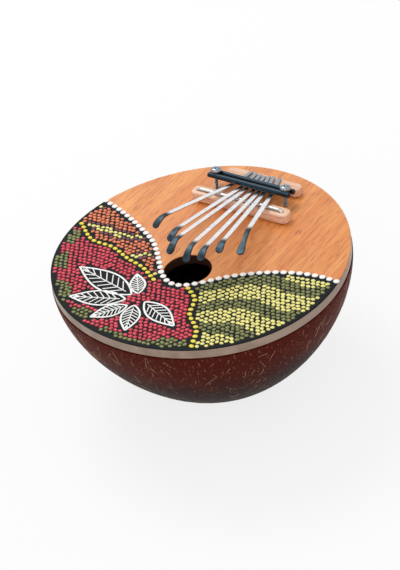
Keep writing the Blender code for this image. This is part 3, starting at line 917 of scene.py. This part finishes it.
def make_painting(paints):
    """Dots over the black ground: three fields parted by two yellow rows, inside a white border."""
    rng = np.random.default_rng(DOT_SEED)
    dividers = [resample(curve_through(points, DIVIDER_POINTS), YELLOW_PITCH)[0] for points in DIVIDERS]
    spots = dot_places(rng, dividers)
    colours = dot_colours(spots, dividers)
    for name in ("red", "olive", "pale_yellow", "maroon", "salmon"):
        chosen = spots[colours == name]
        radii = rng.uniform(*DOT_RADII, len(chosen))
        turns = rng.normal(DOT_TURN, DOT_TURN_SPREAD, len(chosen))
        make_dots("dots_" + name, chosen, radii, turns, paints[name])
    yellow = np.concatenate(dividers)
    make_dots("dots_yellow", yellow, np.full(len(yellow), YELLOW_RADIUS),
              rng.normal(0, YELLOW_TURN_SPREAD, len(yellow)), paints["yellow"], high=YELLOW_HEIGHT)
    border, _ = resample(edge_curve() * WHITE_SHRINK, WHITE_PITCH)
    border[:, 1] -= WHITE_INSET
    make_dots("dots_white_border", border, np.full(len(border), WHITE_RADIUS),
              np.full(len(border), WHITE_TURN), paints["white"], high=WHITE_HEIGHT, stretch=WHITE_STRETCH)


def set_material(node, material):
    """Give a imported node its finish."""
    nodes[node].data.materials.clear()
    nodes[node].data.materials.append(material)


def make_wire(material):
    """Bridge wire: a straight run on the block, bent down at both ends into it."""
    low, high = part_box("bridge_wire")
    z = high.z - WIRE_RADIUS
    left = np.array([low.x + WIRE_RADIUS, WIRE_Y, z])
    right = np.array([high.x - WIRE_RADIUS, WIRE_Y, z])
    down = np.array([0, 0, low.z - z])
    path = [left + down]
    path += arc_corner(left + down, left, right, WIRE_BEND, WIRE_BEND_STEPS)
    path += arc_corner(left, right, right + down, WIRE_BEND, WIRE_BEND_STEPS)
    path += [right + down]
    radius = np.full(len(path), WIRE_RADIUS)
    wire = sweep("bent_bridge_wire", np.array(path), (0, -1, 0), radius, radius, 0.0, WIRE_SIDES, material)
    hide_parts("bridge_wire")


def clamp_point(along, rise, shift=0.0):
    """A point over the clamp's middle: rise square to the tines, shift down their slope."""
    lean = math.atan(TINE_SLOPE)
    z = PIVOT_Z - TINE_SLOPE * (CLAMP_Y - WIRE_Y)
    return np.array([along, CLAMP_Y + rise * math.sin(lean) + shift * math.cos(lean),
                     z + rise * math.cos(lean) - shift * math.sin(lean)])


def make_rod(name, node, shift, material):
    """Cut steel rod: a circle carried along X, narrowed at both ends to a broken edge and end face."""
    _, y, z = clamp_point(0.0, TINE_THICK / 2 + SEAT_GAP + ROD_RADIUS, shift)
    left, right = ROD_ENDS
    stops = np.array([left - END_FACE_RISE, left, left + ROD_CHAMFER,
                      right - ROD_CHAMFER, right, right + END_FACE_RISE])
    half = [ROD_RADIUS * END_FACE_SHARE, ROD_RADIUS - ROD_CHAMFER, ROD_RADIUS]
    radius = np.array(half + half[::-1])
    path = np.column_stack([stops, np.full(len(stops), y), np.full(len(stops), z)])
    rod = sweep(name, path, (0, -1, 0), radius, radius, 0.0, ROD_SIDES, material)
    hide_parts(node)


def shank_radii(angle, heights):
    """Screw shank: the core plus a sharp crest that climbs one pitch a turn.

    The crest fades out where the screw passes between the rods and towards its point, and it is
    lower inside the wood.
    """
    climb = (heights[:, None] / THREAD_PITCH - angle[None, :] / FULL_TURN) % 1.0
    crest = np.maximum(0.0, 1 - np.abs(climb - 0.5) / THREAD_FLANK)
    from_tip = heights + SCREW_LENGTH
    fade = (smooth_step((-heights - THREAD_START) / THREAD_START_FADE)
            * smooth_step(from_tip / THREAD_END_FADE))
    in_wood = smooth_step((-heights - WOOD_START) / WOOD_FADE)
    depth = (SCREW_CREST - SCREW_CORE) * fade * (1 - WOOD_CREST_LOSS * in_wood)
    point = np.minimum(1.0, POINT_BLUNT + from_tip / SCREW_POINT)
    return SCREW_CORE * point[:, None] + crest * depth[:, None]


def head_profile():
    """Pan head's radii and heights: a flat seat, then a superellipse dome over an upright rim."""
    share = np.cos(np.linspace(0, math.pi / 2, HEAD_RINGS))
    share[-1] = HEAD_TOP_SHARE
    radii = SCREW_HEAD * np.concatenate([[HEAD_SEAT_SHARE], share])
    crown = np.sqrt(1 - (radii / SCREW_HEAD) ** HEAD_POWER)
    heights = SCREW_HEAD_HIGH * (HEAD_RIM_SHARE + (1 - HEAD_RIM_SHARE) * crown)
    heights[0] = 0.0
    return radii, heights


def recess_arm(along, across):
    """One bar of the cross recess: 1 inside it, easing to 0 over its end and side slopes."""
    return (smooth_step((RECESS_ARM - along) / RECESS_ARM_SLOPE)
            * smooth_step((RECESS_HALF_WIDTH - across) / RECESS_WALL_SLOPE))


def make_screw(name, node, along, material):
    """Pan-head wood screw on one polar grid: shank rings, then head rings sunk by a cross recess."""
    angle = np.linspace(0, FULL_TURN, SCREW_SIDES, endpoint=False)
    shank_heights = np.linspace(-SCREW_LENGTH, 0.0, SHANK_RINGS)
    head_radii, head_heights = head_profile()
    radius = np.concatenate([shank_radii(angle, shank_heights),
                             np.repeat(head_radii[:, None], SCREW_SIDES, axis=1)])
    heights = np.concatenate([shank_heights, head_heights])
    x = radius * np.cos(angle)
    y = radius * np.sin(angle)
    one = np.abs(x * math.cos(RECESS_TURN) + y * math.sin(RECESS_TURN))
    two = np.abs(y * math.cos(RECESS_TURN) - x * math.sin(RECESS_TURN))
    is_dome = (np.arange(len(heights)) > SHANK_RINGS + HEAD_RIM_RINGS)[:, None]
    sunk = RECESS_DEPTH * np.maximum(recess_arm(one, two), recess_arm(two, one)) * is_dome
    z = heights[:, None] - sunk
    tilt = Matrix.Rotation(-math.atan(TINE_SLOPE), 3, "X")
    points = np.stack([x, y, z], axis=2).reshape(-1, 3) @ np.array(tilt).T
    points += clamp_point(along, TINE_THICK / 2 + 2 * (SEAT_GAP + ROD_RADIUS))
    faces = tube_faces(len(heights), SCREW_SIDES)
    screw = finish_mesh(name, points, faces, material, sharp=SCREW_SHARP_ANGLE)
    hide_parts(node)


def tine_path(number):
    """Middle line of a tine in its own upright plane, from its tail's end; also tail length and run.

    Level tail on its block, dip under the rear rod, straight slope over the wire, bend, fall to the
    tip. Corners are arcs, and points crowd together over the round nose.
    """
    across = AXES[number]
    straight, fall, paddle = TINE_SHAPES[number]
    tail_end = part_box("tine_tail_%d" % (number + 1))[1].y
    tail_rise = BLOCK_TOP + SEAT_GAP + TINE_THICK / 2 - PIVOT_Z
    back = (tail_end - WIRE_Y) / across[0]
    lean = math.cos(math.atan(TINE_SLOPE))
    dip = (CLAMP_Y + ROD_PITCH / 2 * lean + TAIL_DIP_GAP - WIRE_Y) / across[0]
    level = dip + TAIL_DIP_RUN / across[0]
    slope = TINE_SLOPE * across[0]
    rise = math.atan(slope)
    drop = math.radians(fall)
    reach = TINE_BEND * math.tan((rise + drop) / 2)
    corner = np.array([math.cos(rise), math.sin(rise)]) * (straight + reach)
    tip = corner + np.array([math.cos(drop), -math.sin(drop)]) * (reach + paddle)
    corners = [(-back, tail_rise), (-level, tail_rise), (-dip, -dip * slope), corner, tip]
    flat = [np.array(corners[0])]
    for corner_number, radius, steps in (
        (1, TAIL_BEND, TAIL_BEND_STEPS),
        (2, TAIL_BEND, TAIL_BEND_STEPS),
        (3, TINE_BEND, TINE_BEND_STEPS),
    ):
        flat += arc_corner(*corners[corner_number - 1:corner_number + 2], radius, steps)
    flat.append(np.array(tip))
    flat, run = resample(np.array(flat), TINE_STEP)
    nose = PADDLE_WIDTH / 2
    nose_start = run[-1] - nose
    nose_run = nose_start + nose * np.sin(np.radians(NOSE_DEGREES))
    nose_flat = np.column_stack([np.interp(nose_run, run, column) for column in flat.T])
    before = run < nose_start
    return np.concatenate([flat[before], nose_flat]), np.concatenate([run[before], nose_run]), back, run[-1]


def make_tine(number, material):
    """One whole strip: a squarish section along its path, widening to a paddle with a round nose."""
    straight = TINE_SHAPES[number][0]
    pivot = PIVOTS[number]
    across = AXES[number]
    forward = np.array([across[1], -across[0], 0.0])
    flat, run, back, length = tine_path(number)
    path = pivot + flat[:, :1] * forward + flat[:, 1:] * np.array([0, 0, 1.0])
    nose = PADDLE_WIDTH / 2
    widen = smooth_step((run - (length - PADDLE_LENGTH - nose)) / PADDLE_LENGTH)
    taper = np.interp(run, [0, back, length - PADDLE_LENGTH], [TAIL_WIDTH, TONGUE_WIDTH, NECK_WIDTH])
    nose_share = np.clip((run - (length - nose)) / nose, 0, 1)
    wide = (taper + widen * (PADDLE_WIDTH - NECK_WIDTH)) / 2 * np.sqrt(1 - nose_share ** 2)
    high = (TINE_THICK + widen * (PADDLE_THICK - TINE_THICK)) / 2
    tine = sweep("tine_strip_%d" % (number + 1), path, across, wide, high, TINE_SQUARENESS, TINE_SIDES,
                 material, body=None)
    # Mask of the forged end: rougher there, and painted dark as reflection
    hammered = smooth_step((run - (back + straight - FORGE_BEFORE_BEND)) / FORGE_FADE)
    mask = tine.data.attributes.new("hammered", "FLOAT", "POINT")
    mask.data.foreach_set("value", np.repeat(hammered, TINE_SIDES).astype(np.float32))
    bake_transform(tine)
    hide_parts("tine_tail_%d" % (number + 1), "tine_tongue_%d" % (number + 1))


def seen_ray(tree):
    """1 for rays that the camera sees straight or in a reflection, and 0 for light on the object."""
    path = add_node(tree, "ShaderNodeLightPath").outputs
    links = {0: path["Is Camera Ray"], 1: path["Is Glossy Ray"]}
    return add_node(tree, "ShaderNodeMath", {"operation": "MAXIMUM"}, links)


def make_floor():
    """White floor: bright to the camera and to reflections, greyer to bounced light."""
    mesh = bpy.data.meshes.new("floor")
    reach = FLOOR_HALF_SIZE
    corners = [(-reach, -reach, 0), (reach, -reach, 0), (reach, reach, 0), (-reach, reach, 0)]
    mesh.from_pydata(corners, [], [(0, 1, 2, 3)])
    floor = bpy.data.objects.new("floor", mesh)
    floor.location.z = -FLOOR_DROP
    bpy.context.scene.collection.objects.link(floor)
    made, tree, shader = new_material("floor_paper", Roughness=1.0, Specular_IOR_Level=0.0,
                                      Base_Color=FLOOR_COLOUR)
    bounce = add_node(tree, "ShaderNodeBsdfDiffuse", {"Color": FLOOR_BOUNCE})
    glow = add_node(tree, "ShaderNodeEmission", {"Color": WHITE, "Strength": 1.0})
    bright = add_node(tree, "ShaderNodeMixShader", {0: FLOOR_GLOW_SHARE}, {1: shader, 2: glow})
    both = add_node(tree, "ShaderNodeMixShader", None, {0: seen_ray(tree), 1: bounce, 2: bright})
    tree.links.new(output_of(both), tree.nodes["Material Output"].inputs["Surface"])
    mesh.materials.append(made)


def make_light(name, place, size, power):
    """A square soft light that points at the middle of the object."""
    lamp = bpy.data.lights.new(name, "AREA")
    lamp.size = size
    lamp.energy = power
    light = bpy.data.objects.new(name, lamp)
    light.location = place
    aim = Vector(LIGHT_AIM) - Vector(place)
    light.rotation_euler = aim.to_track_quat("-Z", "Y").to_euler()
    bpy.context.scene.collection.objects.link(light)


def make_camera():
    """Camera on the photograph's line of sight, rolled, with its centre line on the picture's centre."""
    azimuth, elevation, roll = (math.radians(v) for v in (CAMERA_AZIMUTH, CAMERA_ELEVATION, CAMERA_ROLL))
    ahead = -np.array([math.sin(azimuth) * math.cos(elevation), -math.cos(azimuth) * math.cos(elevation),
                       math.sin(elevation)])
    level = np.array([math.cos(azimuth), math.sin(azimuth), 0.0])
    upright = np.cross(level, ahead)
    right = math.cos(roll) * level - math.sin(roll) * upright
    up = math.cos(roll) * upright + math.sin(roll) * level
    focal = PIXELS_PER_METRE * CAMERA_DISTANCE
    off_x = (AIM_PIXEL[0] - PICTURE[0] / 2) / focal
    off_y = (AIM_PIXEL[1] - PICTURE[1] / 2) / focal
    aim = np.array([*AIM_POINT, BOARD_TOP])
    place = aim - CAMERA_DISTANCE * (ahead + off_x * right - off_y * up)
    data = bpy.data.cameras.new("camera")
    data.sensor_width = 36.0
    data.lens = focal * data.sensor_width / PICTURE[1]
    data.clip_start = 0.05
    camera = bpy.data.objects.new("camera", data)
    rows = [(right[i], up[i], -ahead[i], place[i]) for i in range(3)]
    camera.matrix_world = Matrix((*rows, (0, 0, 0, 1)))
    bpy.context.scene.collection.objects.link(camera)
    bpy.context.scene.camera = camera


def make_world():
    """Even surroundings: white to the camera and to reflections, softer as light on the object."""
    world = bpy.data.worlds.new("studio")
    world.use_nodes = True
    tree = world.node_tree
    background = tree.nodes["Background"]
    background.inputs["Color"].default_value = WHITE
    power = add_node(tree, "ShaderNodeMath",
                     {"operation": "MULTIPLY_ADD", 1: SKY_SEEN - SKY_LIGHT, 2: SKY_LIGHT},
                     {0: seen_ray(tree)})
    tree.links.new(output_of(power), background.inputs["Strength"])
    bpy.context.scene.world = world


def main():
    """Studio first, then the bowl and board with their paint, then the tines and their clamp."""
    make_camera()
    make_world()
    make_floor()
    make_light("key_light", *KEY_LIGHT)
    make_light("fill_light", *FILL_LIGHT)
    bpy.context.scene.view_settings.view_transform = "Standard"

    finishes = make_materials()
    make_shell(finishes["shell"])
    make_fibres(finishes["fibre"])
    make_board(finishes["board"])
    make_paint_ground(finishes["ground"])
    make_painting(finishes)
    make_line_work(finishes["white"])

    set_material("bridge_block", finishes["block"])
    set_material("tail_block", finishes["block"])
    set_material("screw_cleat", finishes["cleat"])
    make_wire(finishes["wire"])
    make_rod("front_rod", "clamp_rod_front", -ROD_PITCH / 2, finishes["rod"])
    make_rod("rear_rod", "clamp_rod_rear", ROD_PITCH / 2, finishes["rod"])
    for side, along in zip(("left", "right"), SCREW_X):
        make_screw("pan_head_screw_" + side, "clamp_screw_" + side, along, finishes["screw"])
    for number in range(len(PIVOTS)):
        make_tine(number, finishes["tine"])


main()
